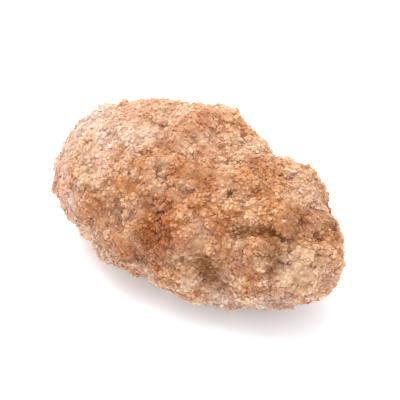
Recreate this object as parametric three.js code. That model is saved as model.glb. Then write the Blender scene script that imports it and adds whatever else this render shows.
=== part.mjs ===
// A cinnamon almond: one roasted almond wholly covered by a craggy, sandy crust of crystallised sugar.
// Kernel and crust hold together as one solid. Millimetres, +Z up. The almond lies flat, its blunt tip
// towards +X, and the origin is on the surface it lies on, under the middle of its bounding box.
import * as THREE from "three";
import { ImprovedNoise } from "three/addons/math/ImprovedNoise.js";
import { mergeVertices } from "three/addons/utils/BufferGeometryUtils.js";

// Overall size with the crust
const LENGTH = 29;
const WIDTH = 18;
const THICKNESS = 14;

// Almond form: how much the girth shrinks from the broad end to the tip, how far the tip is pulled out as a
// share of half the length, and how suddenly that pull sets in
const EGG_TAPER = 0.1;
const TIP_PULL = 0.1;
const TIP_SUDDENNESS = 5;

// Flat spot that it rests on: how deep the underside is cut, and the heights on a unit sphere between which
// the crags fade out above it
const REST_CUT = 0.5;
const CRAGS_FADE_FROM = -0.88;
const CRAGS_GONE_AT = -0.99;

// Broad swells of the crust
const SWELL_SPAN = 6.2;
const SWELL_RISE = 0.75;

// Clods: caps of caked sugar, the largest first, that cover the crust and meet in creases
const CLOD_SIZES = [
  { count: 60, reach: [2.2, 3.4], rise: [0.25, 0.7] },
  { count: 300, reach: [1.1, 1.9], rise: [0.15, 0.5] },
];

// Pits all over the crust, where clods broke away
const PITS = { count: 26, reach: [1.0, 2.0], rise: [-0.6, -0.2] };

// How far clods and pits stray from an even spread, as a share of the space that each has
const STRAY = 0.55;

// Single lumps and dents. Each lies in a direction (along, across, up) from the middle of the almond.
const FEATURES = {
  heapOverMiddle: { toward: [-0.16, 0.5, 0.85], reach: 6, rise: 1.1 },
  roundingOfBroadEnd: { toward: [-0.88, -0.47, -0.06], reach: 3.6, rise: 0.4 },
  slopeUnderBroadEnd: { toward: [-0.67, -0.66, -0.35], reach: 2.8, rise: -0.6 },
  slopeBesideHollow: { toward: [-0.18, -0.92, 0.34], reach: 2.2, rise: -0.4 },
  shoulderOfTip: { toward: [0.6, 0.62, 0.5], reach: 3.8, rise: 1 },
  fullUndersideOfTip: { toward: [0.86, 0.03, -0.5], reach: 5, rise: 0.9 },
  bulgeLowOnNearSide: { toward: [-0.28, -0.84, -0.46], reach: 4, rise: 0.9 },
  smoothLumpBesideHollow: { toward: [-0.07, -1, 0.03], reach: 2.2, rise: 0.6 },
  lumpAbovePit: { toward: [0.35, -0.88, 0.32], reach: 1.9, rise: 0.6 },
  lumpBelowPit: { toward: [0.4, -0.91, -0.12], reach: 1.6, rise: 0.4 },
  slabInCrevice: { toward: [0.74, -0.55, 0.4], reach: 2.6, rise: 0.5 },
  smallPitNearTip: { toward: [0.89, 0.1, 0.45], reach: 1.4, rise: -0.7 },
};

// Grooves. Each runs through a few directions from the middle of the almond: a valley across the far side,
// where the thick crust stops short of the tip, a forked hollow that runs down the near side, a pit low on
// that side, and a crevice that bends round a slab of crust near the tip.
const GROOVES = {
  valleyAcrossFarSide: {
    through: [
      [0.16, 0.95, 0.27],
      [0.35, 0.7, 0.62],
      [0.49, 0.4, 0.77],
    ],
    reach: 2.1,
    depth: 0.65,
  },
  hollowDownNearSide: {
    through: [
      [0.06, -0.82, 0.57],
      [0.07, -0.95, 0.3],
      [0.06, -0.99, 0.08],
      [0.01, -0.99, -0.15],
    ],
    reach: 2,
    depth: 0.8,
  },
  forkOfHollow: {
    through: [
      [0.09, -0.94, 0.33],
      [0.16, -0.93, 0.32],
      [0.23, -0.92, 0.32],
    ],
    reach: 1.5,
    depth: 0.5,
  },
  pitLowOnNearSide: {
    through: [
      [0.49, -0.86, 0.11],
      [0.5, -0.86, -0.07],
      [0.56, -0.81, -0.17],
    ],
    reach: 1.9,
    depth: 0.9,
  },
  creviceRoundSlab: {
    through: [
      [0.61, -0.57, 0.55],
      [0.7, -0.43, 0.58],
      [0.83, -0.28, 0.48],
      [0.86, -0.37, 0.34],
      [0.82, -0.5, 0.28],
    ],
    reach: 1.2,
    depth: 0.65,
  },
};
const GROOVE_STEPS = 24;

const CRUST_COLOUR = 0xcd9a77;
const CRUST_ROUGHNESS = 0.85;
const SPHERE_DETAIL = 21;
const RANDOM_SEED = 7;

const GOLDEN_ANGLE = Math.PI * (3 - Math.sqrt(5));
const EITHER_WAY = [-1, 1];
const random = THREE.MathUtils.seededRandom;
const between = ([low, high]) => THREE.MathUtils.lerp(low, high, random());

// The smooth almond under the crags, in a unit direction from its middle.
function almondPoint(direction) {
  const along = direction.x;
  const girth = 1 - EGG_TAPER * along;
  const pull = TIP_PULL * Math.pow(Math.max(0, along), TIP_SUDDENNESS);
  return new THREE.Vector3(
    (LENGTH / 2) * (along + pull),
    (WIDTH / 2) * girth * direction.y,
    (THICKNESS / 2) * girth * direction.z,
  );
}

function almondPointToward(toward) {
  return almondPoint(new THREE.Vector3(...toward).normalize());
}

// The unit direction number index of count, spread evenly all round by the golden angle and then strayed.
function spreadDirection(index, count) {
  const along = 1 - (2 * index + 1) / count;
  const ring = Math.sqrt(1 - along * along);
  const turn = GOLDEN_ANGLE * index;
  const space = Math.sqrt((4 * Math.PI) / count);
  const shift = new THREE.Vector3(between(EITHER_WAY), between(EITHER_WAY), between(EITHER_WAY));
  return new THREE.Vector3(along, ring * Math.cos(turn), ring * Math.sin(turn))
    .addScaledVector(shift, STRAY * space)
    .normalize();
}

// Lumps, or dents where rise is negative, spread all over the smooth almond.
function makeSpread({ count, reach, rise }) {
  return Array.from({ length: count }, (_, index) => ({
    centre: almondPoint(spreadDirection(index, count)),
    reach: between(reach),
    rise: between(rise),
  }));
}

function makeFeature({ toward, reach, rise }) {
  return { centre: almondPointToward(toward), reach, rise };
}

// A groove as a row of dents that act as one: only the nearest counts.
function makeGroove({ through, reach, depth }) {
  const line = new THREE.CatmullRomCurve3(through.map(almondPointToward));
  return line.getSpacedPoints(GROOVE_STEPS).map((centre) => ({ centre, reach, rise: -depth }));
}

// Height of a lump or dent at a point: smooth to nothing at its reach.
function softHeight({ centre, reach, rise }, point) {
  const share = centre.distanceToSquared(point) / (reach * reach);
  return share < 1 ? rise * (1 - share) * (1 - share) : 0;
}

// Height of a clod's cap at a point: it ends in an edge, so that neighbours meet in a crease.
function capHeight({ centre, reach, rise }, point) {
  return Math.max(0, rise * (1 - centre.distanceToSquared(point) / (reach * reach)));
}

// How far the crust stands out from the smooth almond, as a function of the point and its direction.
function makeRelief() {
  random(RANDOM_SEED);
  const noise = new ImprovedNoise();
  const clods = CLOD_SIZES.map(makeSpread);
  const lumpsAndDents = [...makeSpread(PITS), ...Object.values(FEATURES).map(makeFeature)];
  const grooves = Object.values(GROOVES).map(makeGroove);

  return (point, direction) => {
    const { x, y, z } = point.clone().divideScalar(SWELL_SPAN);
    let height = SWELL_RISE * noise.noise(x, y, z);
    for (const size of clods) {
      height += Math.max(...size.map((clod) => capHeight(clod, point)));
    }
    for (const lumpOrDent of lumpsAndDents) {
      height += softHeight(lumpOrDent, point);
    }
    for (const groove of grooves) {
      height += Math.min(...groove.map((dent) => softHeight(dent, point)));
    }
    return height * THREE.MathUtils.smoothstep(direction.z, CRAGS_GONE_AT, CRAGS_FADE_FROM);
  };
}

// Even triangles all round a unit sphere, with shared corners.
function unitSphere() {
  const sphere = new THREE.IcosahedronGeometry(1, SPHERE_DETAIL);
  sphere.deleteAttribute("normal");
  sphere.deleteAttribute("uv");
  return mergeVertices(sphere);
}

// Replaces every corner of a geometry by what move makes of it.
function moveCorners(geometry, move) {
  const corners = geometry.getAttribute("position");
  const corner = new THREE.Vector3();
  for (let index = 0; index < corners.count; index++) {
    const { x, y, z } = move(corner.fromBufferAttribute(corners, index), index);
    corners.setXYZ(index, x, y, z);
  }
}

// Cuts the underside flat, then brings the box to its overall size and its foot to the origin.
function settle(geometry) {
  geometry.computeBoundingBox();
  const floor = geometry.boundingBox.min.z + REST_CUT;
  moveCorners(geometry, (corner) => corner.setZ(Math.max(corner.z, floor)));
  geometry.computeBoundingBox();
  const size = geometry.boundingBox.getSize(new THREE.Vector3());
  const middle = geometry.boundingBox.getCenter(new THREE.Vector3());
  geometry.translate(-middle.x, -middle.y, -floor);
  geometry.scale(LENGTH / size.x, WIDTH / size.y, THICKNESS / size.z);
}

function almondGeometry() {
  const geometry = unitSphere();
  const corners = geometry.getAttribute("position");
  const directions = Array.from({ length: corners.count }, (_, index) =>
    new THREE.Vector3().fromBufferAttribute(corners, index),
  );
  moveCorners(geometry, almondPoint);
  geometry.computeVertexNormals();
  const normals = geometry.getAttribute("normal");
  const outward = new THREE.Vector3();
  const relief = makeRelief();
  moveCorners(geometry, (corner, index) =>
    corner.addScaledVector(outward.fromBufferAttribute(normals, index), relief(corner, directions[index])),
  );
  settle(geometry);
  geometry.computeVertexNormals();
  return geometry;
}

const almond = new THREE.Mesh(
  almondGeometry(),
  new THREE.MeshStandardMaterial({ color: CRUST_COLOUR, roughness: CRUST_ROUGHNESS, metalness: 0 }),
);
almond.name = "coated_almond";

const group = new THREE.Group();
group.add(almond);

export default group;
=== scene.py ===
"""The looks of a cinnamon almond: a craggy crust of caked sugar, with the crumbs, grains, crystals, caramel
and spice that stick to it, in a plain bright studio that is seen from the photograph's angle."""

import functools
import itertools
import logging
import math
from dataclasses import dataclass, field
from enum import Enum

import bmesh
import bpy
import numpy as np
from mathutils import Color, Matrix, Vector

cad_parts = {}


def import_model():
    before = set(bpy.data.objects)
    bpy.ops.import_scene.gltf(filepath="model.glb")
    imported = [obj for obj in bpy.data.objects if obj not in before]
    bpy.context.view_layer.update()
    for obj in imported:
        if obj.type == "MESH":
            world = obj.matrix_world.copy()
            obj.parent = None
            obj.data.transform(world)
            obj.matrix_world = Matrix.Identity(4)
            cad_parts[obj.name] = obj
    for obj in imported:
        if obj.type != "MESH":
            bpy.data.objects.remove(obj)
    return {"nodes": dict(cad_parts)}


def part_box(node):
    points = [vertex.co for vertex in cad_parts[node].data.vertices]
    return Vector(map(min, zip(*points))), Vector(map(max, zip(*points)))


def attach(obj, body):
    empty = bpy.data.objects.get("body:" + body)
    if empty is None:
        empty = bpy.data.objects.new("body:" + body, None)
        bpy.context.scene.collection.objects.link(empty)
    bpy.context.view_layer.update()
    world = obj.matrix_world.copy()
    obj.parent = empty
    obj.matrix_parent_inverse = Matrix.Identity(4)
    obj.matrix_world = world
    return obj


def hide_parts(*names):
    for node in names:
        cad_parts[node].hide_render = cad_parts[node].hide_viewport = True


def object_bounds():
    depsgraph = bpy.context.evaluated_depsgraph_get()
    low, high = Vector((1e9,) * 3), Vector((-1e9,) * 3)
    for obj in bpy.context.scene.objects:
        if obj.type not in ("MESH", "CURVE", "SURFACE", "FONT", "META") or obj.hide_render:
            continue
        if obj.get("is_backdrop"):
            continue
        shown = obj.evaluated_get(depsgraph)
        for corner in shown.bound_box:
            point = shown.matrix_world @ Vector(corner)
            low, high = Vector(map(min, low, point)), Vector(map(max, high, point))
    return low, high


LOG = logging.getLogger("cinnamon_almond")
CRUST_NODE = "coated_almond"
BODY = "root"
MM = 0.001

Place = tuple[float, float, float]
Range = tuple[float, float]
Colour = tuple[int, int, int]
Linear = tuple[float, float, float, float]
Feed = float | Place | Linear | bpy.types.NodeSocket
Inputs = dict[str | int, Feed]


# Numbers and points

LOWEST_CORNER = (-np.inf, -np.inf, 0.0)


def between(ends: Range, share: np.ndarray) -> np.ndarray:
    """The numbers that lie at given shares of the way between two ends."""
    low, high = ends
    return low + (high - low) * share


def unit(vectors: np.ndarray) -> np.ndarray:
    """The vectors, each brought to a length of 1."""
    return vectors / np.linalg.norm(vectors, axis=-1, keepdims=True)


def on_floor(points: np.ndarray) -> np.ndarray:
    """The points, with none below the surface that the almond lies on."""
    return np.maximum(points, LOWEST_CORNER)


# Random fields in space

CELL_FACTORS = np.array([73856093, 19349663, 83492791], dtype=np.int64)
DRAW_FACTOR = 49979687
MIX_FACTOR = 0x45D9F3B
MIX_SHIFT = 16
MIX_ROUNDS = 2
WORD = 0xFFFFFFFF
CELL_CORNERS = np.array(list(itertools.product((0, 1), repeat=3)))
CELL_NEIGHBOURS = np.array(list(itertools.product((-1, 0, 1), repeat=3)))


def cell_random(cells: np.ndarray, draw: int) -> np.ndarray:
    """Gives each cell of a grid in space a random number of its own.

    Args:
        cells: the cells, three whole numbers each.
        draw: which of many unrelated draws this is.

    Returns:
        One number from 0 to 1 for each cell.
    """
    mixed = (cells @ CELL_FACTORS + draw * DRAW_FACTOR) & WORD
    for _ in range(MIX_ROUNDS):
        mixed = ((mixed ^ (mixed >> MIX_SHIFT)) * MIX_FACTOR) & WORD
    return (mixed ^ (mixed >> MIX_SHIFT)) / WORD


def smooth_noise(points: np.ndarray, span: float, draw: int) -> np.ndarray:
    """Random waves in space.

    Args:
        points: where the waves are read.
        span: the width of a wave, in the points' units.
        draw: which of many unrelated draws this is.

    Returns:
        One number from -1 to 1 for each point.
    """
    scaled = points / span
    cells = np.floor(scaled).astype(np.int64)
    share = scaled - cells
    share = share * share * (3 - 2 * share)
    total = np.zeros(len(points))
    for corner in CELL_CORNERS:
        weight = np.where(corner, share, 1 - share).prod(axis=1)
        total += weight * cell_random(cells + corner, draw)
    return 2 * total - 1


def drifted(points: np.ndarray, span: float, amount: float, draw: int) -> np.ndarray:
    """Shifts points by random waves, so that whatever is read there has ragged outlines.

    Args:
        points: points in space.
        span: the width of a wave, in the points' units.
        amount: the largest shift.
        draw: the first of the three draws that it takes.

    Returns:
        The shifted points.
    """
    shift = [smooth_noise(points, span, draw + axis) for axis in range(3)]
    return points + amount * np.stack(shift, axis=1)


# Triangle meshes as arrays

WELD_DIGITS = 5
LOOP_NEAR = 3 / 8
LOOP_FAR = 1 / 8


@dataclass
class Skin:
    """A triangle mesh: points in millimetres, and three corner numbers for each face."""

    points: np.ndarray
    faces: np.ndarray

    @classmethod
    def of_node(cls, node: bpy.types.Object) -> "Skin":
        """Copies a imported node's triangles and welds the corners that lie on one spot.

        Args:
            node: the node's object, which stays as it is.

        Returns:
            The closed skin of the node.
        """
        mesh = node.data
        mesh.calc_loop_triangles()
        points = np.empty(3 * len(mesh.vertices))
        mesh.vertices.foreach_get("co", points)
        faces = np.empty(3 * len(mesh.loop_triangles), dtype=np.int64)
        mesh.loop_triangles.foreach_get("vertices", faces)
        spots = np.round(points.reshape(-1, 3) / MM, WELD_DIGITS)
        welded, number = np.unique(spots, axis=0, return_inverse=True)
        return cls(welded, number.reshape(-1)[faces].reshape(-1, 3))

    @functools.cached_property
    def sides(self) -> tuple[np.ndarray, np.ndarray, np.ndarray]:
        """How edges and faces belong together.

        Returns:
            The edges as pairs of points, the edge of each face's sides, and the point opposite each side.
        """
        a, b, c = self.faces.T
        ends = np.concatenate([np.stack(pair, axis=1) for pair in ((a, b), (b, c), (c, a))])
        edges, edge_of_side = np.unique(np.sort(ends, axis=1), axis=0, return_inverse=True)
        return edges, edge_of_side.reshape(3, -1), np.stack([c, a, b])

    def gathered(self, values: np.ndarray) -> tuple[np.ndarray, np.ndarray]:
        """Sums values over each point's neighbours.

        Args:
            values: three numbers for each point.

        Returns:
            The sums, and how many neighbours each point has.
        """
        start, end = self.sides[0].T
        count = np.bincount(np.concatenate([start, end]), minlength=len(values))
        sums = [
            np.bincount(start, column[end], len(values)) + np.bincount(end, column[start], len(values))
            for column in values.T
        ]
        return np.stack(sums, axis=1), count

    def refined(self) -> "Skin":
        """Splits each face in four and rounds the skin, by Loop's rule.

        Returns:
            The finer skin.
        """
        edges, edge_of_side, opposite = self.sides
        around, count = self.gathered(self.points)
        pull = LOOP_NEAR / count[:, None]
        kept = self.points * (1 - count[:, None] * pull) + around * pull
        across = np.zeros((len(edges), 3))
        np.add.at(across, edge_of_side, self.points[opposite])
        middles = LOOP_NEAR * self.points[edges].sum(axis=1) + LOOP_FAR * across
        a, b, c = self.faces.T
        ab, bc, ca = edge_of_side + len(self.points)
        corners = ((a, ab, ca), (ab, b, bc), (ca, bc, c), (ab, bc, ca))
        faces = np.concatenate([np.stack(three, axis=1) for three in corners])
        return Skin(np.concatenate([kept, middles]), faces)

    def face_normals(self) -> np.ndarray:
        """Each face's normal, as long as twice the face's area."""
        a, b, c = self.points[self.faces.T]
        return np.cross(b - a, c - a)

    def normals(self) -> np.ndarray:
        """Finds the way that the skin faces at each point, as the mean of the faces round it.

        Returns:
            A unit normal for each point.
        """
        total = np.zeros_like(self.points)
        np.add.at(total, self.faces, self.face_normals()[:, None, :])
        return unit(total)

    def relaxed(self, rounds: int) -> np.ndarray:
        """Evens out the skin by moving each point halfway to the middle of its neighbours.

        Args:
            rounds: how many times to do so.

        Returns:
            The points of the smoother skin.
        """
        points = self.points
        for _ in range(rounds):
            around, count = self.gathered(points)
            points = (points + around / count[:, None]) / 2
        return points

    def relief(self, rounds: int) -> np.ndarray:
        """How far each point stands out from the evened skin: crests are positive and hollows negative."""
        return ((self.points - self.relaxed(rounds)) * self.normals()).sum(axis=1)


# Marks


class Mark(Enum):
    """What each point of a mesh tells its material, by the name of the attribute that carries it.

    The first four follow the lumps, and the others are traits of patches.
    """

    TONE = "tone"
    CREST = "crest"
    HOLLOW = "hollow"
    VALLEY = "valley"
    FROST = "frost"
    CREAM = "cream"
    TOAST = "toast"
    BLUSH = "blush"
    AMBER = "amber"
    RUSSET = "russet"
    BARE = "bare"
    SMOOTH = "smooth"


Marks = dict[Mark, np.ndarray]
TINTS_ON_TOP = (Mark.FROST, Mark.BLUSH, Mark.TOAST, Mark.AMBER, Mark.CREAM)
TINTS_BELOW = (Mark.RUSSET, Mark.BARE)
SUGAR_MARKS = (Mark.TONE, Mark.CREST, Mark.HOLLOW, Mark.VALLEY) + TINTS_ON_TOP + TINTS_BELOW


@dataclass(frozen=True)
class Patch:
    """A patch of one trait, in millimetres: its place from the almond's middle, its reach, its strength."""

    place: Place
    reach: float
    strength: float

    def at(self, points: np.ndarray) -> np.ndarray:
        """How strongly the trait shows at points measured from the almond's middle, from 0 to 1."""
        gap = np.linalg.norm(points - np.array(self.place), axis=1) / self.reach
        return self.strength * np.exp(-gap * gap)


PATCHES: dict[Mark, tuple[Patch, ...]] = {
    # White powder over the broad end, along the bottom and at the tip. The patches along the bottom and
    # under the tip are also painted light, standing in for light bounced up from the pale floor.
    Mark.FROST: (
        Patch((-7.5, -2.8, 5.5), 3.8, 0.5), Patch((-11.9, -1.2, 3.3), 3.0, 0.9),
        Patch((-13.5, -3.1, 0.5), 2.4, 0.9), Patch((-8.8, -7.4, -1.1), 2.0, 0.9),
        Patch((-12.4, -5.2, -1.0), 2.2, 0.7), Patch((-6.0, 3.0, 5.6), 3.2, 0.35),
        Patch((-3.7, -8.5, -2.0), 2.0, 0.8), Patch((11.4, -3.2, -3.6), 2.3, 0.95),
        Patch((8.0, -5.8, -3.8), 2.2, 0.9), Patch((14.2, -0.3, -1.1), 1.3, 0.4),
    ),
    # Pale lumps of caked sugar. The patch at (12.3, -3.0, 1.2) near the tip also lightens the shaded lower
    # side of a lump, as painted light.
    Mark.CREAM: (
        Patch((-8.5, -5.2, 3.1), 1.5, 0.95), Patch((5.4, 4.2, 4.6), 1.5, 0.6),
        Patch((8.2, 3.8, 4.1), 1.6, 0.6), Patch((9.9, 3.8, 3.2), 1.5, 0.6),
        Patch((2.2, 3.8, 5.2), 1.5, 0.95), Patch((-6.5, 1.9, 5.7), 2.2, 0.45),
        Patch((-2.8, 3.2, 6.8), 2.2, 0.25), Patch((-0.8, -4.7, 5.2), 1.1, 0.75),
        Patch((-4.7, -0.1, 6.0), 1.2, 0.65), Patch((-5.6, -3.6, 5.7), 1.1, 0.5),
        Patch((0.3, 0.8, 6.0), 1.6, 0.5), Patch((-2.7, -7.4, 1.5), 1.4, 0.65),
        Patch((5.3, -2.6, 5.2), 1.3, 0.6), Patch((1.7, -5.0, 4.5), 0.9, 0.6),
        Patch((12.3, -3.0, 1.2), 1.7, 0.95), Patch((12.1, 1.2, 2.1), 1.2, 0.3),
        Patch((13.8, -2.5, 0.2), 1.4, 0.7), Patch((5.8, -6.8, 1.9), 1.5, 0.4),
        Patch((8.6, -5.0, 2.5), 1.2, 0.4), Patch((4.0, -7.6, 0.5), 1.2, 0.85),
        Patch((2.8, 0.9, 5.3), 0.9, 0.7),
    ),
    # Toasted sugar between the lumps
    Mark.TOAST: (
        Patch((5.0, -7.0, -0.4), 0.9, 0.3), Patch((-4.4, -7.7, 2.3), 2.0, 0.8),
        Patch((-4.2, -8.3, 0.0), 1.8, 0.65), Patch((3.8, -5.5, 4.0), 1.4, 0.6),
        Patch((1.5, -0.8, 5.7), 1.2, 0.75), Patch((1.4, -7.1, 1.6), 2.3, 0.75),
        Patch((0.6, -4.0, 5.2), 1.3, 0.95), Patch((7.1, 2.4, 4.6), 1.6, 0.85),
        Patch((3.9, 1.8, 5.2), 1.3, 0.7), Patch((-3.0, -4.4, 5.5), 1.4, 0.7),
        Patch((-1.7, -1.2, 6.1), 1.3, 0.5), Patch((8.8, 0.3, 4.8), 1.3, 0.5),
        Patch((3.0, -3.3, 5.0), 1.9, 0.85), Patch((8.1, -5.8, 0.4), 1.2, 0.4),
        Patch((13.4, -0.2, 1.5), 1.7, 0.55), Patch((12.3, -3.9, -0.5), 1.0, 0.45),
        Patch((11.1, 2.4, 2.7), 1.3, 0.7), Patch((-0.9, -7.1, 2.6), 1.2, 0.85),
    ),
    # Pinkish sugar, mostly on slopes
    Mark.BLUSH: (
        Patch((-9.4, -3.9, 4.2), 1.2, 0.5), Patch((-6.2, -5.4, 4.5), 1.4, 0.4),
        Patch((-9.4, -6.7, 0.7), 1.6, 0.6), Patch((0.3, -5.5, 3.9), 0.8, 0.4),
        Patch((9.8, -5.2, 2.2), 1.9, 0.5), Patch((7.6, -6.3, -1.2), 2.2, 0.5),
        Patch((-3.5, 1.0, 6.6), 3.5, 0.5), Patch((2.5, -4.2, 4.8), 2.6, 0.4),
        Patch((14.2, -0.2, -0.9), 1.5, 0.35), Patch((-1.5, -8.8, 0.2), 1.6, 0.4),
        Patch((-1.3, 1.7, 6.7), 1.7, 0.75),
    ),
    # Syrupy sugar in the valley across the top and on the lump beside the hollow
    Mark.AMBER: (
        Patch((-1.5, -8.8, 0.2), 1.8, 0.3), Patch((-0.8, -6.4, 3.4), 2.0, 0.3),
        Patch((5.0, 2.6, 4.7), 1.4, 0.7), Patch((5.3, 0.5, 5.4), 1.3, 0.5),
        Patch((7.0, 2.0, 4.7), 2.0, 0.7), Patch((6.5, -1.2, 5.0), 3.2, 0.45),
    ),
    # Burnt red-brown sugar in the hollow and in a few spots on top
    Mark.RUSSET: (
        Patch((0.0, -5.6, 3.8), 1.0, 0.2), Patch((0.6, -4.0, 5.2), 1.0, 0.3),
        Patch((7.1, 2.4, 4.6), 1.1, 0.3), Patch((1.1, -6.8, 2.1), 1.3, 0.6),
        Patch((1.2, -7.2, 1.4), 1.2, 0.25), Patch((1.8, -8.0, 0.6), 1.6, 0.7),
        Patch((0.3, -8.1, -0.6), 1.5, 0.6), Patch((2.9, -7.3, 2.2), 1.2, 0.75),
        Patch((-1.0, -8.3, -1.4), 1.4, 0.2), Patch((-1.2, 1.9, 6.8), 1.1, 0.6),
        Patch((4.4, 2.5, 5.0), 0.9, 0.6),
    ),
    # Bare brown crust in the pits and in the crevice near the tip
    Mark.BARE: (
        Patch((1.2, -7.6, 0.9), 1.0, 0.4), Patch((0.6, -7.9, -0.9), 1.0, 0.5),
        Patch((5.7, -6.7, 0.6), 1.3, 0.7), Patch((6.3, -5.9, -1.0), 1.4, 0.65),
        Patch((7.5, -4.3, 3.6), 0.9, 0.45), Patch((8.9, -3.5, 3.4), 0.8, 0.7),
        Patch((9.8, -2.9, 3.4), 0.9, 0.8), Patch((10.7, -3.1, 2.9), 1.0, 0.85),
        Patch((10.9, -4.4, 3.0), 1.3, 0.95), Patch((11.5, -0.3, 3.5), 1.1, 1.0),
        Patch((12.3, 2.4, 2.0), 1.1, 0.9), Patch((-6.5, -7.7, 2.1), 0.7, 0.4),
        Patch((-5.7, -8.5, 0.2), 0.7, 0.7),
    ),
    # Smoother crust, with low lumps and few grains
    Mark.SMOOTH: (
        Patch((-7.9, -3.4, 5.3), 3.0, 0.3), Patch((-11.5, -4.5, 0.5), 4.0, 0.4),
        Patch((-1.5, -8.8, 0.2), 1.5, 0.8), Patch((4.8, -7.3, 2.1), 1.1, 0.4),
        Patch((-2.6, 3.2, 6.8), 2.4, 0.4),
    ),
}


@dataclass(frozen=True)
class Stray:
    """Patches of a trait that turn up anywhere: where random waves, in millimetres, pass a level."""

    trait: Mark
    span: float
    level: float
    strength: float
    draw: int

    def at(self, points: np.ndarray) -> np.ndarray:
        """How strongly the trait shows at each point, from 0 to 1."""
        waves = smooth_noise(points, self.span, self.draw)
        return self.strength * np.clip((waves - self.level) / (1 - self.level), 0, 1)


STRAYS = (
    Stray(Mark.FROST, span=3.6, level=0.1, strength=0.6, draw=41),
    Stray(Mark.BLUSH, span=2.8, level=0.1, strength=0.6, draw=42),
    Stray(Mark.AMBER, span=2.2, level=0.2, strength=0.45, draw=43),
    Stray(Mark.RUSSET, span=1.8, level=0.3, strength=0.5, draw=44),
    Stray(Mark.SMOOTH, span=2.6, level=0.3, strength=0.4, draw=45),
)


# Finishes

FULL_LEVEL = 255
WHITE: Linear = (1.0, 1.0, 1.0, 1.0)

# Sockets of a colour mix, whose names other kinds of mix share
MIX_UNDER = 6
MIX_OVER = 7
MIX_RESULT = 2


def linear(colour: Colour) -> Linear:
    """Turns a screen colour, from 0 to 255, into the linear and opaque colour that a shader takes."""
    screen = Color([level / FULL_LEVEL for level in colour])
    return (*screen.from_srgb_to_scene_linear(), 1.0)


@dataclass(frozen=True)
class Waves:
    """Random waves of a finish: how much they count, their span in millimetres and their finer detail."""

    weight: float
    span: float
    detail: float = 2.0


@dataclass(frozen=True)
class Wiring:
    """Adds nodes to one shader tree and joins them."""

    tree: bpy.types.NodeTree

    def feed(self, node: bpy.types.Node, inputs: Inputs) -> None:
        """Sets or joins inputs of a node.

        Args:
            node: the node.
            inputs: values or sockets for its inputs, by name or number.
        """
        for key, value in inputs.items():
            if isinstance(value, bpy.types.NodeSocket):
                self.tree.links.new(value, node.inputs[key])
            else:
                node.inputs[key].default_value = value

    def node(self, kind: str, inputs: Inputs | None = None, **settings: object) -> bpy.types.Node:
        """Adds a node.

        Args:
            kind: the node's type.
            inputs: values or sockets for its inputs, by name or number.
            settings: values for its properties.

        Returns:
            The new node.
        """
        made = self.tree.nodes.new(kind)
        for name, value in settings.items():
            setattr(made, name, value)
        self.feed(made, inputs or {})
        return made

    def group(self, tree: bpy.types.NodeTree, inputs: Inputs) -> bpy.types.NodeOutputs:
        """The outputs of a shader group that is placed here with its own inputs."""
        return self.node("ShaderNodeGroup", inputs, node_tree=tree).outputs

    def mix(self, share: Feed, under: Feed, over: Feed) -> bpy.types.NodeSocket:
        """A colour between two others."""
        inputs = {"Factor": share, MIX_UNDER: under, MIX_OVER: over}
        return self.node("ShaderNodeMix", inputs, data_type="RGBA").outputs[MIX_RESULT]

    def ramp(self, share: Feed, shades: tuple[Colour, ...]) -> bpy.types.NodeSocket:
        """A colour from a row of evenly spaced ones.

        Args:
            share: where to read it, from 0 to 1.
            shades: the colours, two or more.

        Returns:
            The socket that gives the colour.
        """
        made = self.node("ShaderNodeValToRGB", {0: share})
        stops = made.color_ramp.elements
        for number, shade in enumerate(shades):
            place = number / (len(shades) - 1)
            stop = stops[number] if number < len(stops) else stops.new(place)
            stop.position = place
            stop.color = linear(shade)
        return made.outputs["Color"]

    def weighted(self, terms: list[tuple[float, Feed]], start: float = 0.0) -> bpy.types.NodeSocket:
        """Adds up several sockets, each times its weight.

        Args:
            terms: the weights and the sockets.
            start: what the sum starts from.

        Returns:
            The socket that gives the sum.
        """
        total: Feed = start
        for weight, socket in terms:
            term = {0: socket, 1: weight, 2: total}
            total = self.node("ShaderNodeMath", term, operation="MULTIPLY_ADD").outputs[0]
        return total

    def mark(self, mark: Mark) -> bpy.types.NodeSocket:
        """The value of a mark that the mesh carries."""
        return self.node("ShaderNodeAttribute", attribute_name=mark.value).outputs["Fac"]

    def place(self) -> bpy.types.NodeSocket:
        """Where a point lies in the almond's own frame."""
        return self.node("ShaderNodeTexCoord").outputs["Object"]

    def noise(self, span: float, detail: float = 2.0) -> bpy.types.NodeSocket:
        """Waves of a span in millimetres, from 0 to 1, with finer ones on them."""
        inputs = {"Vector": self.place(), "Scale": 1 / (span * MM), "Detail": detail}
        return self.node("ShaderNodeTexNoise", inputs).outputs["Fac"]

    def waves(self, waves: Waves) -> tuple[float, bpy.types.NodeSocket]:
        """Random waves as a term of a weighted sum."""
        return waves.weight, self.noise(waves.span, waves.detail)

    def specks(self, span: float) -> bpy.types.NodeSocket:
        """Divides the surface into small cells, each with a random number.

        Args:
            span: the width of a cell in millimetres.

        Returns:
            The socket that gives the number, from 0 to 1.
        """
        inputs = {"Vector": self.place(), "Scale": 1 / (span * MM)}
        cells = self.node("ShaderNodeTexVoronoi", inputs)
        return self.node("ShaderNodeSeparateColor", {0: cells.outputs["Color"]}).outputs["Red"]


def started_group(name: str, inputs: tuple[str, ...], outputs: dict[str, str]) -> Wiring:
    """Starts a shader group.

    Args:
        name: the group's name.
        inputs: the names of its inputs, which are numbers.
        outputs: the socket types of its outputs, by name.

    Returns:
        The wiring of the group, which has no nodes yet.
    """
    group = bpy.data.node_groups.new(name, "ShaderNodeTree")
    for socket in inputs:
        group.interface.new_socket(socket, in_out="INPUT", socket_type="NodeSocketFloat")
    for socket, kind in outputs.items():
        group.interface.new_socket(socket, in_out="OUTPUT", socket_type=kind)
    return Wiring(group)


def started_material(name: str) -> tuple[bpy.types.Material, Wiring, bpy.types.Node]:
    """Starts a material.

    Args:
        name: the material's name.

    Returns:
        The material, its wiring and its shader.
    """
    made = bpy.data.materials.new(name)
    made.use_nodes = True
    return made, Wiring(made.node_tree), made.node_tree.nodes["Principled BSDF"]


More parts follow.
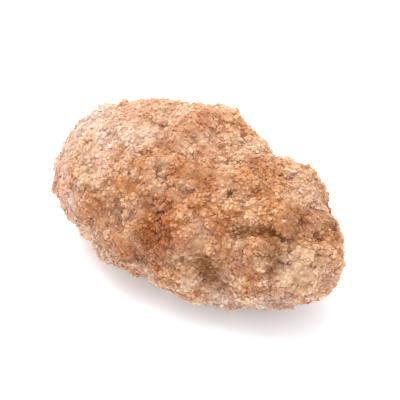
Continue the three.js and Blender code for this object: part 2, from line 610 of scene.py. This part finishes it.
@dataclass(frozen=True)
class SugarColours:
    """The colours of cinnamon sugar, from brown to its palest crests, of its patches and of its hollows.
    The pale of crests and the dark of hollows are partly painted highlight and painted shade.
    """

    brown: Colour = (142, 80, 34)
    tan: Colour = (174, 113, 63)
    peach: Colour = (195, 145, 102)
    pale: Colour = (209, 178, 152)
    frost: Colour = (205, 182, 168)
    cream: Colour = (211, 180, 151)
    toast: Colour = (166, 102, 54)
    blush: Colour = (179, 120, 87)
    amber: Colour = (173, 111, 52)
    # Darker sugar in hollows and valleys, and painted shade there
    hollow_brown_and_shade: Colour = (136, 68, 24)
    russet: Colour = (137, 66, 21)
    bare: Colour = (128, 79, 31)

    def ramp(self) -> tuple[Colour, ...]:
        """The colours from dark to pale."""
        return self.brown, self.tan, self.peach, self.pale

    def tint(self, trait: Mark) -> Linear:
        """The linear colour of the patches that have a trait."""
        return linear(getattr(self, trait.value))


@dataclass(frozen=True)
class SugarShading:
    """How much things count in the shade of sugar, the dark of its hollows and its brightness. The paling
    of crests and the darkening of hollows and valleys are partly painted highlight and painted shade.
    """

    start: float = -0.96
    broad: Waves = Waves(weight=0.6, span=4.5)
    middle: Waves = Waves(weight=1.8, span=2.3)
    small: Waves = Waves(weight=0.6, span=1.0, detail=3.0)
    specks: float = 0.12
    speck_span: float = 0.3
    tone: float = 0.1
    # Crests paler, hollows and valleys darker: partly the sugar's own colour, partly painted highlight and
    # painted shade
    crest: float = 0.18
    hollow: float = 0.2
    valley: float = 0.62
    # Brightness: random tone, with crests lighter and hollows darker, partly as painted highlight and
    # painted shade
    bright_start: float = 0.875
    bright_tone: float = 0.1
    bright_crest: float = 0.1
    bright_hollow: float = -0.15


@functools.cache
def sugar_colour() -> bpy.types.NodeTree:
    """The shader group that colours sugar by its marks: pale on crests, tinted in patches, dark in hollows.
    The pale crests and dark hollows are partly painted highlight and painted shade.

    Returns:
        The group, made once.
    """
    names = tuple(mark.value for mark in SUGAR_MARKS)
    wiring = started_group("sugar colour", inputs=names, outputs={"Color": "NodeSocketColor"})
    inputs = wiring.node("NodeGroupInput").outputs
    marks = {mark: inputs[mark.value] for mark in SUGAR_MARKS}
    colours = SugarColours()
    shading = SugarShading()
    # Lightness from random waves, specks and tone, with crests paler, partly as painted highlight
    light = wiring.weighted(
        [
            wiring.waves(shading.broad),
            wiring.waves(shading.middle),
            wiring.waves(shading.small),
            (shading.specks, wiring.specks(shading.speck_span)),
            (shading.tone, marks[Mark.TONE]),
            (shading.crest, marks[Mark.CREST]),
        ],
        start=shading.start,
    )
    # Darkening in hollows and valleys: partly darker sugar that gathers there, partly painted shade
    dark = wiring.weighted([(shading.hollow, marks[Mark.HOLLOW]), (shading.valley, marks[Mark.VALLEY])])
    colour = wiring.ramp(light, colours.ramp())
    for trait in TINTS_ON_TOP:
        colour = wiring.mix(marks[trait], colour, colours.tint(trait))
    colour = wiring.mix(dark, colour, linear(colours.hollow_brown_and_shade))
    for trait in TINTS_BELOW:
        colour = wiring.mix(marks[trait], colour, colours.tint(trait))
    # Brightness: random tone, with crests lighter and hollows darker, partly as painted highlight and
    # painted shade
    bright = wiring.weighted(
        [
            (shading.bright_tone, marks[Mark.TONE]),
            (shading.bright_crest, marks[Mark.CREST]),
            (shading.bright_hollow, marks[Mark.HOLLOW]),
        ],
        start=shading.bright_start,
    )
    scaled = wiring.node("ShaderNodeVectorMath", {0: colour, "Scale": bright}, operation="SCALE")
    wiring.node("NodeGroupOutput", {"Color": scaled.outputs[0]})
    return wiring.tree


@dataclass(frozen=True)
class GrainSizes:
    """Grain too fine to model, in millimetres: its waves, its specks, and the few specks that glint."""

    waves: Waves = Waves(weight=0.6, span=0.3, detail=3.0)
    specks: float = 0.4
    speck_span: float = 0.16
    glint_span: float = 0.14
    glint_level: float = 0.93


@functools.cache
def fine_grain() -> bpy.types.NodeTree:
    """The shader group for grain too fine to model: its normal at a given depth, and the facets that glint.

    Returns:
        The group, made once.
    """
    outputs = {"Normal": "NodeSocketVector", "Glint": "NodeSocketFloat"}
    wiring = started_group("fine grain", inputs=("Depth",), outputs=outputs)
    depth = wiring.node("NodeGroupInput").outputs["Depth"]
    sizes = GrainSizes()
    specks = (sizes.specks, wiring.specks(sizes.speck_span))
    height = wiring.weighted([wiring.waves(sizes.waves), specks])
    bump = wiring.node("ShaderNodeBump", {"Height": height, "Distance": depth})
    facets = {0: wiring.specks(sizes.glint_span), 1: sizes.glint_level}
    glint = wiring.node("ShaderNodeMath", facets, operation="GREATER_THAN").outputs[0]
    wiring.node("NodeGroupOutput", {"Normal": bump.outputs["Normal"], "Glint": glint})
    return wiring.tree


@dataclass(frozen=True)
class SugarFinish:
    """Caked or loose sugar: matte, with glinting facets and glossy syrupy spots. Depths in millimetres."""

    name: str
    matte: float = 0.85
    glint: float = 0.3
    amber_gloss: float = 0.4
    russet_gloss: float = 0.25
    grain_depth: float = 0.02
    shine: float = 0.2
    clearness: float = 0.15
    light_depth: float = 0.2
    light_spread: Place = (1.0, 0.6, 0.4)
    sheen: float = 0.65
    sheen_spread: float = 0.3
    sheen_tint: Linear = (1.0, 0.87, 0.75, 1.0)

    def material(self) -> bpy.types.Material:
        """The finish as a new material.

        Returns:
            The material.
        """
        made, wiring, shader = started_material(self.name)
        marks = {mark.value: wiring.mark(mark) for mark in SUGAR_MARKS}
        grain = wiring.group(fine_grain(), {"Depth": self.grain_depth * MM})
        rough = wiring.weighted(
            [
                (self.glint - self.matte, grain["Glint"]),
                (-self.amber_gloss, marks[Mark.AMBER.value]),
                (-self.russet_gloss, marks[Mark.RUSSET.value]),
            ],
            start=self.matte,
        )
        inputs = {
            "Base Color": wiring.group(sugar_colour(), marks)["Color"],
            "Roughness": rough,
            "Normal": grain["Normal"],
            "Subsurface Weight": self.clearness,
            "Subsurface Radius": self.light_spread,
            "Subsurface Scale": self.light_depth * MM,
            "Specular IOR Level": self.shine,
            "Sheen Weight": self.sheen,
            "Sheen Roughness": self.sheen_spread,
            "Sheen Tint": self.sheen_tint,
        }
        wiring.feed(shader, inputs)
        return made


@dataclass(frozen=True)
class CaramelFinish:
    """Melted and set sugar: glassy, amber to brown in swirls, and a little clear. In millimetres."""

    name: str
    light: Colour = (204, 144, 88)
    dark: Colour = (172, 106, 58)
    swirl_span: float = 0.7
    swirl_depth: float = 0.05
    smooth: float = 0.22
    dull: Waves = Waves(weight=0.3, span=0.25)
    clearness: float = 0.3
    light_depth: float = 0.5
    light_spread: Place = (1.0, 0.45, 0.2)
    gloss: float = 0.6

    def material(self) -> bpy.types.Material:
        """The finish as a new material.

        Returns:
            The material.
        """
        made, wiring, shader = started_material(self.name)
        swirls = wiring.noise(self.swirl_span)
        bump = wiring.node("ShaderNodeBump", {"Height": swirls, "Distance": self.swirl_depth * MM})
        inputs = {
            "Base Color": wiring.mix(swirls, linear(self.dark), linear(self.light)),
            "Roughness": wiring.weighted([wiring.waves(self.dull)], start=self.smooth),
            "Normal": bump.outputs["Normal"],
            "Subsurface Weight": self.clearness,
            "Subsurface Radius": self.light_spread,
            "Subsurface Scale": self.light_depth * MM,
            "Coat Weight": self.gloss,
        }
        wiring.feed(shader, inputs)
        return made


@dataclass(frozen=True)
class SpiceFinish:
    """Ground bark: dull brown flakes, each of its own shade. In millimetres."""

    name: str
    light: Colour = (170, 100, 54)
    dark: Colour = (112, 62, 32)
    tone: float = 0.6
    waves: Waves = Waves(weight=0.4, span=0.1)
    grain_depth: float = 0.03
    matte: float = 0.9

    def material(self) -> bpy.types.Material:
        """The finish as a new material.

        Returns:
            The material.
        """
        made, wiring, shader = started_material(self.name)
        shade = wiring.weighted([(self.tone, wiring.mark(Mark.TONE)), wiring.waves(self.waves)])
        inputs = {
            "Base Color": wiring.mix(shade, linear(self.dark), linear(self.light)),
            "Roughness": self.matte,
            "Normal": wiring.group(fine_grain(), {"Depth": self.grain_depth * MM})["Normal"],
        }
        wiring.feed(shader, inputs)
        return made


Finish = SugarFinish | CaramelFinish | SpiceFinish


# The crust

LUMP_DRAWS = 6
FACET_DRAWS = 10
MIDDLE_TONE = 0.5


@dataclass
class Piece:
    """A piece of the almond that shows, and its finish."""

    name: str
    finish: Finish
    made: bpy.types.Object = field(init=False)

    def put(self, skin: Skin, marks: Marks, rounded: bool) -> None:
        """Makes the piece's mesh, which rides on the almond.

        Args:
            skin: its shape.
            marks: numbers for each point, which the materials read.
            rounded: whether its faces are shaded as one smooth surface.
        """
        mesh = bpy.data.meshes.new(self.name)
        mesh.vertices.add(len(skin.points))
        mesh.vertices.foreach_set("co", (skin.points * MM).ravel())
        mesh.loops.add(skin.faces.size)
        mesh.loops.foreach_set("vertex_index", skin.faces.ravel())
        mesh.polygons.add(len(skin.faces))
        mesh.polygons.foreach_set("loop_start", np.arange(0, skin.faces.size, 3))
        mesh.update(calc_edges=True)
        for mark, values in marks.items():
            mesh.attributes.new(mark.value, "FLOAT", "POINT").data.foreach_set("value", values)
        if rounded:
            mesh.shade_smooth()
        else:
            mesh.shade_flat()
        self.made = bpy.data.objects.new(self.name, mesh)
        bpy.context.scene.collection.objects.link(self.made)
        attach(self.made, BODY)

    def dress(self) -> None:
        """Gives the piece its finish."""
        self.made.data.materials.append(self.finish.material())


@dataclass(frozen=True)
class Lumps:
    """A layer of lumps, or of pits where the rise is negative: about one to each span, in millimetres.

    Broken lumps have facets and edges, and the others are round. Only a share of them show.
    """

    span: float
    radius: Range
    rise: Range
    draw: int
    broken: bool = False
    share: float = 1.0
    facets: int = 3
    flat_top: float = 0.6
    roundness: float = 0.8

    def over(self, points: np.ndarray) -> tuple[np.ndarray, np.ndarray]:
        """How far the layer stands out at each point, and the random number of the lump that does so.

        Args:
            points: points on the crust.

        Returns:
            A height and a number from 0 to 1 for each point.
        """
        scaled = points / self.span
        cells = np.floor(scaled).astype(np.int64)
        height = np.zeros(len(points))
        tone = np.full(len(points), MIDDLE_TONE)
        for step in CELL_NEIGHBOURS:
            cell = cells + step
            x, y, z, size, lift, chance = (cell_random(cell, self.draw + n) for n in range(LUMP_DRAWS))
            offset = (cell + np.stack([x, y, z], axis=1) - scaled) * self.span
            gap = self.gap(offset, cell) / between(self.radius, size)
            rise = between(self.rise, lift) * np.clip(self.cap(gap), 0, 1) * (chance < self.share)
            higher = np.abs(rise) > np.abs(height)
            height[higher] = rise[higher]
            tone[higher] = lift[higher]
        return height, tone

    def gap(self, offset: np.ndarray, cell: np.ndarray) -> np.ndarray:
        """How far points are from a lump's middle, measured so that a broken lump has facets.

        Args:
            offset: from each point to the lump's middle.
            cell: the cell of each lump.

        Returns:
            A distance for each point.
        """
        gap = np.linalg.norm(offset, axis=1)
        if self.broken:
            gap *= self.roundness
            for facet in range(self.facets):
                draw = self.draw + FACET_DRAWS * (1 + facet)
                facing = unit(np.stack([cell_random(cell, draw + axis) - 0.5 for axis in range(3)], axis=1))
                gap = np.maximum(gap, np.abs((offset * facing).sum(axis=1)))
        return gap

    def cap(self, gap: np.ndarray) -> np.ndarray:
        """The share of a lump's rise at distances from its middle, which are shares of its radius."""
        return np.minimum(1 - gap, self.flat_top) / self.flat_top if self.broken else 1 - gap * gap


@dataclass
class AlmondCrust(Piece):
    """The crust all over the almond, in millimetres: lumps on lumps, pores, and patches of colour."""

    name: str = "almond_crust"
    finish: Finish = SugarFinish("caked sugar")
    refinements: int = 2
    clods: Lumps = Lumps(span=2.0, radius=(0.9, 1.7), rise=(0.08, 0.42), draw=100)
    clots: Lumps = Lumps(span=0.95, radius=(0.4, 0.8), rise=(0.06, 0.34), draw=200)
    grit: Lumps = Lumps(span=0.5, radius=(0.22, 0.45), rise=(0.04, 0.18), draw=300, broken=True)
    pores: Lumps = Lumps(span=1.2, radius=(0.2, 0.45), rise=(-0.4, -0.15), draw=400, share=0.1)
    warp: float = 0.4
    warp_span: float = 1.3
    warp_draw: int = 20
    ragged: float = 0.9
    ragged_span: float = 1.4
    ragged_draw: int = 30
    relief_rounds: int = 25
    relief_depth: float = 0.2
    valley_rounds: int = 220
    valley_depth: float = 0.5
    tone: Range = (-0.8, 0.6)
    skin: Skin = field(init=False)
    marks: Marks = field(init=False)

    def build(self, node: bpy.types.Object) -> None:
        """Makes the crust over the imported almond, which it replaces.

        Args:
            node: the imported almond.
        """
        bare = Skin.of_node(node)
        for _ in range(self.refinements):
            bare = bare.refined()
        low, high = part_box(node.name)
        traits = self.traits_at(bare.points, np.array((low + high) / 2) / MM)
        self.skin, tone = self.heaped(bare, 1 - traits[Mark.SMOOTH])
        relief = self.skin.relief(self.relief_rounds) / self.relief_depth
        depth = -self.skin.relief(self.valley_rounds) / self.valley_depth
        # Crest, hollow and valley marks follow the relief; the material pales crests and darkens hollows
        # and valleys, partly as painted highlight and painted shade
        self.marks = traits | {
            Mark.TONE: between(self.tone, tone),
            Mark.HOLLOW: np.clip(-relief, 0, 1),
            Mark.CREST: np.clip(relief, 0, 1),
            Mark.VALLEY: np.clip(depth, 0, 1),
        }
        self.put(self.skin, self.marks, rounded=True)
        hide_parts(node.name)

    def traits_at(self, points: np.ndarray, middle: np.ndarray) -> Marks:
        """How strongly each trait shows at points of the almond.

        Args:
            points: points in millimetres.
            middle: the almond's middle.

        Returns:
            Numbers from 0 to 1 for each point, by the trait's mark.
        """
        where = drifted(points, self.ragged_span, self.ragged, self.ragged_draw)
        missing = {trait: np.ones(len(points)) for trait in PATCHES}
        for trait, patches in PATCHES.items():
            for patch in patches:
                missing[trait] *= 1 - patch.at(where - middle)
        for stray in STRAYS:
            missing[stray.trait] *= 1 - stray.at(where)
        return {trait: 1 - value for trait, value in missing.items()}

    def heaped(self, bare: Skin, rough: np.ndarray) -> tuple[Skin, np.ndarray]:
        """Heaps the layers of lumps on the bare skin, one on the other.

        Args:
            bare: the skin without lumps.
            rough: the share of their height that small lumps have at each point.

        Returns:
            The lumpy skin, and the random tone of the lumps at each point, from 0 to 1.
        """
        where = drifted(bare.points, self.warp_span, self.warp, self.warp_draw)
        skin = bare
        tones = {}
        for layer, share in ((self.clods, 1), (self.clots, rough), (self.pores, rough), (self.grit, rough)):
            height, tones[layer] = layer.over(where)
            height = height * share
            skin = Skin(skin.points + (height - height.mean())[:, None] * skin.normals(), bare.faces)
        tone = (tones[self.grit] + tones[self.clots]) / 2
        return Skin(on_floor(skin.points), bare.faces), tone


# What sticks to the crust


class Form(Enum):
    """What small things are shaped from: a block, or a ball by how often it is split."""

    CRYSTAL = 0
    CRUMB = 2
    DROP = 3

    def blank(self) -> Skin:
        """Makes the shape before it is chipped, stretched and turned.

        Returns:
            A skin of triangles whose corners are 1 from its middle.
        """
        grid = bmesh.new()
        if self is Form.CRYSTAL:
            bmesh.ops.create_cube(grid, size=2 / math.sqrt(3))
            bmesh.ops.triangulate(grid, faces=grid.faces)
        else:
            bmesh.ops.create_icosphere(grid, subdivisions=self.value, radius=1)
        points = np.array([corner.co for corner in grid.verts])
        faces = np.array([[corner.index for corner in face.verts] for face in grid.faces])
        grid.free()
        return Skin(points, faces)


@dataclass
class Scatter(Piece):
    """Many small things of one kind that stick to the crust, in one piece. Sizes are in millimetres.

    Each is chipped by cuts, flattened, turned any way or laid flat, and sunk by a share of its height.
    They crowd in some spots and are few on smooth crust, or keep to where a mark of the crust is strong.
    """

    form: Form
    count: int
    radius: Range
    seed: int
    flatness: Range = (0.6, 1.0)
    sunk: float = 0.4
    cuts: int = 8
    cut_depth: Range = (0.55, 0.95)
    lying: bool = False
    seat: Mark | None = None
    seat_pull: float = 2.0
    crowding: Range = (0.2, 1.0)
    crowd_span: float = 2.2
    tone: Range = (0.0, 1.0)
    rareness: float = 1.0
    # How dark the lower sides of the things turn: painted shade
    painted_underside_shade: float = 0.35
    follow: float = 0.5

    def build(self, crust: AlmondCrust) -> None:
        """Strews the things over the crust.

        Args:
            crust: the finished crust.
        """
        draw = np.random.default_rng(self.seed)
        blank = self.form.blank()
        three = crust.skin.faces[draw.choice(len(crust.skin.faces), self.count, p=self.chances(crust))]
        spot = crust.skin.points[three].mean(axis=1)
        normal = unit(crust.skin.normals()[three].mean(axis=1))
        low, high = self.radius
        radius = low * (high / low) ** draw.random((self.count, 1))
        offset = self.shaped(blank.points, radius, normal, draw)
        lift = np.einsum("nki,ni->nk", offset, normal)
        centre = spot + normal * (lift.max(axis=1, keepdims=True) * (1 - 2 * self.sunk))
        points = on_floor(centre[:, None] + offset)
        faces = blank.faces + len(blank.points) * np.arange(self.count)[:, None, None]
        bright = draw.random(self.count) ** self.rareness
        marks = self.marked(crust, three[:, 0], bright, lift / radius)
        skin = Skin(points.reshape(-1, 3), faces.reshape(-1, 3))
        self.put(skin, marks, rounded=self.form is not Form.CRYSTAL)

    def chances(self, crust: AlmondCrust) -> np.ndarray:
        """Works out where the things stick.

        Args:
            crust: the finished crust.

        Returns:
            The chance of each of the crust's faces to hold one of the things.
        """
        if self.seat:
            favour = crust.marks[self.seat] ** self.seat_pull
        else:
            crowd = (1 + smooth_noise(crust.skin.points, self.crowd_span, self.seed)) / 2
            favour = (1 - crust.marks[Mark.SMOOTH]) * between(self.crowding, crowd)
        size = np.linalg.norm(crust.skin.face_normals(), axis=1)
        weight = size * favour[crust.skin.faces].mean(axis=1)
        return weight / weight.sum()

    def shaped(
        self, corners: np.ndarray, radius: np.ndarray, normal: np.ndarray, draw: np.random.Generator
    ) -> np.ndarray:
        """Gives each of the things its own shape and turn.

        Args:
            corners: the corners of the blank.
            radius: the radius of each thing.
            normal: the crust's unit normal under each.
            draw: where the random numbers come from.

        Returns:
            The corners of each thing, from its middle.
        """
        stretch = draw.uniform(*self.flatness, (self.count, 3))
        if self.lying:
            stretch[:, :2] = 1
        local = self.chipped(corners, draw) * (stretch * radius)[:, None]
        return np.einsum("nij,nkj->nki", self.turns(normal, draw), local)

    def chipped(self, corners: np.ndarray, draw: np.random.Generator) -> np.ndarray:
        """Cuts the sides of a blank off by random planes, once for each of the things.

        Args:
            corners: the corners of the blank.
            draw: where the random numbers come from.

        Returns:
            The corners of each thing, before it is stretched and turned.
        """
        facing = unit(draw.normal(size=(self.count, self.cuts, 3)))
        depth = draw.uniform(*self.cut_depth, (self.count, 1, self.cuts))
        reach = np.einsum("kj,ncj->nkc", corners, facing)
        short = np.where(reach > depth, depth / np.maximum(reach, depth), 1).min(axis=2)
        return corners * short[:, :, None]

    def turns(self, normal: np.ndarray, draw: np.random.Generator) -> np.ndarray:
        """Rotations for all the things: any way round, or lying on the crust.

        Args:
            normal: the crust's unit normal under each.
            draw: where the random numbers come from.

        Returns:
            A rotation matrix for each.
        """
        first = draw.normal(size=(self.count, 3))
        third = unit(normal if self.lying else draw.normal(size=(self.count, 3)))
        second = unit(np.cross(third, first))
        return np.stack([np.cross(second, third), second, third], axis=2)

    def marked(
        self, crust: AlmondCrust, under: np.ndarray, bright: np.ndarray, height: np.ndarray
    ) -> Marks:
        """Passes the crust's marks on to the things, with their own tone, their tops marked as crests for
        painted highlight and their lower sides marked as hollows for painted shade.

        Args:
            crust: the finished crust.
            under: the number of the crust's point under each thing.
            bright: how bright each thing is, from 0 to 1.
            height: how high each thing's corners are over its middle, in radii.

        Returns:
            The marks of all the corners.
        """
        corners = height.shape[1]
        marks = {mark: np.repeat(values[under], corners) for mark, values in crust.marks.items()}
        marks[Mark.TONE] = np.repeat(between(self.tone, bright), corners)
        # Tops paler as painted highlight, lower sides darker as painted shade
        for mark, own in ((Mark.CREST, height), (Mark.HOLLOW, -self.painted_underside_shade * height)):
            marks[mark] = self.follow * marks[mark] + (1 - self.follow) * np.clip(own, 0, 1).ravel()
        return marks


def things_on_crust() -> tuple[Scatter, ...]:
    """Lists what sticks to the crust.

    Returns:
        One piece for each kind of thing.
    """
    return (
        Scatter(
            "sugar_grains", SugarFinish("loose sugar"), Form.CRYSTAL, 9000, (0.2, 0.42), seed=1,
            sunk=0.48, tone=(0.2, 3.2), rareness=2.0,
        ),
        Scatter(
            "fine_sugar", SugarFinish("fine sugar"), Form.CRYSTAL, 14000, (0.08, 0.15), seed=2,
            tone=(0.0, 1.6),
        ),
        Scatter(
            "crust_crumbs", SugarFinish("crumbled sugar"), Form.CRUMB, 1600, (0.22, 0.46), seed=3,
            sunk=0.6, cut_depth=(0.35, 0.85), tone=(0.1, 1.2),
        ),
        # Pale clear crystals on the crests; their bright tone is partly painted glint
        Scatter(
            "sugar_crystals", SugarFinish("clear sugar", matte=0.2, glint=0.05, clearness=0.5),
            Form.CRYSTAL, 1800, (0.15, 0.3), seed=4, seat=Mark.CREST, tone=(1.8, 3.2),
        ),
        Scatter(
            "caramel_drops", CaramelFinish("caramel"), Form.DROP, 110, (0.14, 0.28), seed=5,
            flatness=(0.4, 0.8), sunk=0.7, cuts=4, cut_depth=(0.7, 0.95), lying=True, seat=Mark.AMBER,
        ),
        Scatter(
            "cinnamon_flecks", SpiceFinish("ground cinnamon"), Form.CRYSTAL, 280, (0.06, 0.15), seed=6,
            flatness=(0.2, 0.4), lying=True,
        ),
    )


# The studio


@dataclass
class Studio:
    """A pale floor, soft light and a camera at the photograph's viewing angle. Lengths are in metres."""

    azimuth: float = 40.0
    elevation: float = 39.0
    view_width: float = 0.035
    lens: float = 250.0
    floor_radius: float = 3.0
    floor_sides: int = 64
    floor_colour: Colour = (238, 244, 250)
    floor_roughness: float = 0.7
    floor_glow: float = 0.2
    key_from: Place = (-0.2, -0.3, 1.0)
    key_distance: float = 0.5
    key_side: float = 0.5
    key_watts: float = 2.9
    sky_strength: float = 1.27

    def build(self, low: Vector, high: Vector) -> None:
        """Sets up floor, light and camera round the almond.

        Args:
            low: the lowest corner of the almond's box.
            high: the highest corner of the almond's box.
        """
        middle = (low + high) / 2
        self.lay_floor(low.z)
        self.light(middle)
        self.set_camera(middle)

    def away(self, right: float, near: float, up: float) -> Vector:
        """Turns a direction as the camera sees it into one in the almond's frame.

        Args:
            right: how far it goes to the camera's right.
            near: how far it comes towards the camera.
            up: how far it rises.

        Returns:
            The unit direction.
        """
        turn = math.radians(self.azimuth)
        along = Vector((math.cos(turn), math.sin(turn), 0)) * right
        toward = Vector((math.sin(turn), -math.cos(turn), 0)) * near
        return (along + toward + Vector((0, 0, up))).normalized()

    def place(self, thing: bpy.types.Object, spot: Vector, target: Vector) -> None:
        """Links a camera or a light to the scene.

        Args:
            thing: the camera or light.
            spot: where it goes.
            target: what it faces.
        """
        bpy.context.scene.collection.objects.link(thing)
        thing.location = spot
        thing.rotation_euler = (target - spot).to_track_quat("-Z", "Y").to_euler()

    def lay_floor(self, height: float) -> None:
        """Lays the round floor that the almond lies on.

        Args:
            height: the height of the floor.
        """
        grid = bmesh.new()
        bmesh.ops.create_circle(grid, cap_ends=True, segments=self.floor_sides, radius=self.floor_radius)
        mesh = bpy.data.meshes.new("floor")
        grid.to_mesh(mesh)
        grid.free()
        floor = bpy.data.objects.new("floor", mesh)
        floor.location.z = height
        bpy.context.scene.collection.objects.link(floor)
        floor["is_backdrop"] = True
        material, wiring, shader = started_material("pale floor")
        inputs = {
            "Base Color": linear(self.floor_colour),
            "Roughness": self.floor_roughness,
            "Emission Color": WHITE,
            "Emission Strength": self.floor_glow,
        }
        wiring.feed(shader, inputs)
        mesh.materials.append(material)

    def light(self, middle: Vector) -> None:
        """Hangs one broad soft lamp over the almond, in a white surround.

        Args:
            middle: the middle of the almond.
        """
        lamp = bpy.data.lights.new("key", "AREA")
        lamp.size = self.key_side
        lamp.energy = self.key_watts
        key = bpy.data.objects.new("key", lamp)
        key.visible_camera = False
        self.place(key, middle + self.away(*self.key_from) * self.key_distance, middle)
        world = bpy.data.worlds.new("white surround")
        world.use_nodes = True
        surround = world.node_tree.nodes["Background"]
        Wiring(world.node_tree).feed(surround, {"Color": WHITE, "Strength": self.sky_strength})
        bpy.context.scene.world = world
        bpy.context.scene.view_settings.view_transform = "Standard"

    def set_camera(self, middle: Vector) -> None:
        """Sets up the camera that the scene is seen by.

        Args:
            middle: the middle of the almond.
        """
        data = bpy.data.cameras.new("camera")
        data.lens = self.lens
        camera = bpy.data.objects.new("camera", data)
        tilt = math.radians(self.elevation)
        back = self.away(0, math.cos(tilt), math.sin(tilt))
        distance = self.view_width * self.lens / data.sensor_width
        self.place(camera, middle + back * distance, middle)
        bpy.context.scene.camera = camera


def main() -> None:
    """Builds the almond piece by piece."""
    logging.basicConfig(level=logging.INFO, format="%(message)s")
    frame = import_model()
    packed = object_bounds()
    Studio().build(*packed)
    crust = AlmondCrust()
    crust.build(frame["nodes"][CRUST_NODE])
    scattered = things_on_crust()
    for things in scattered:
        things.build(crust)
    for piece in (crust, *scattered):
        piece.dress()
        LOG.info("%s: %d faces", piece.name, len(piece.made.data.polygons))


if __name__ == "__main__":
    main()
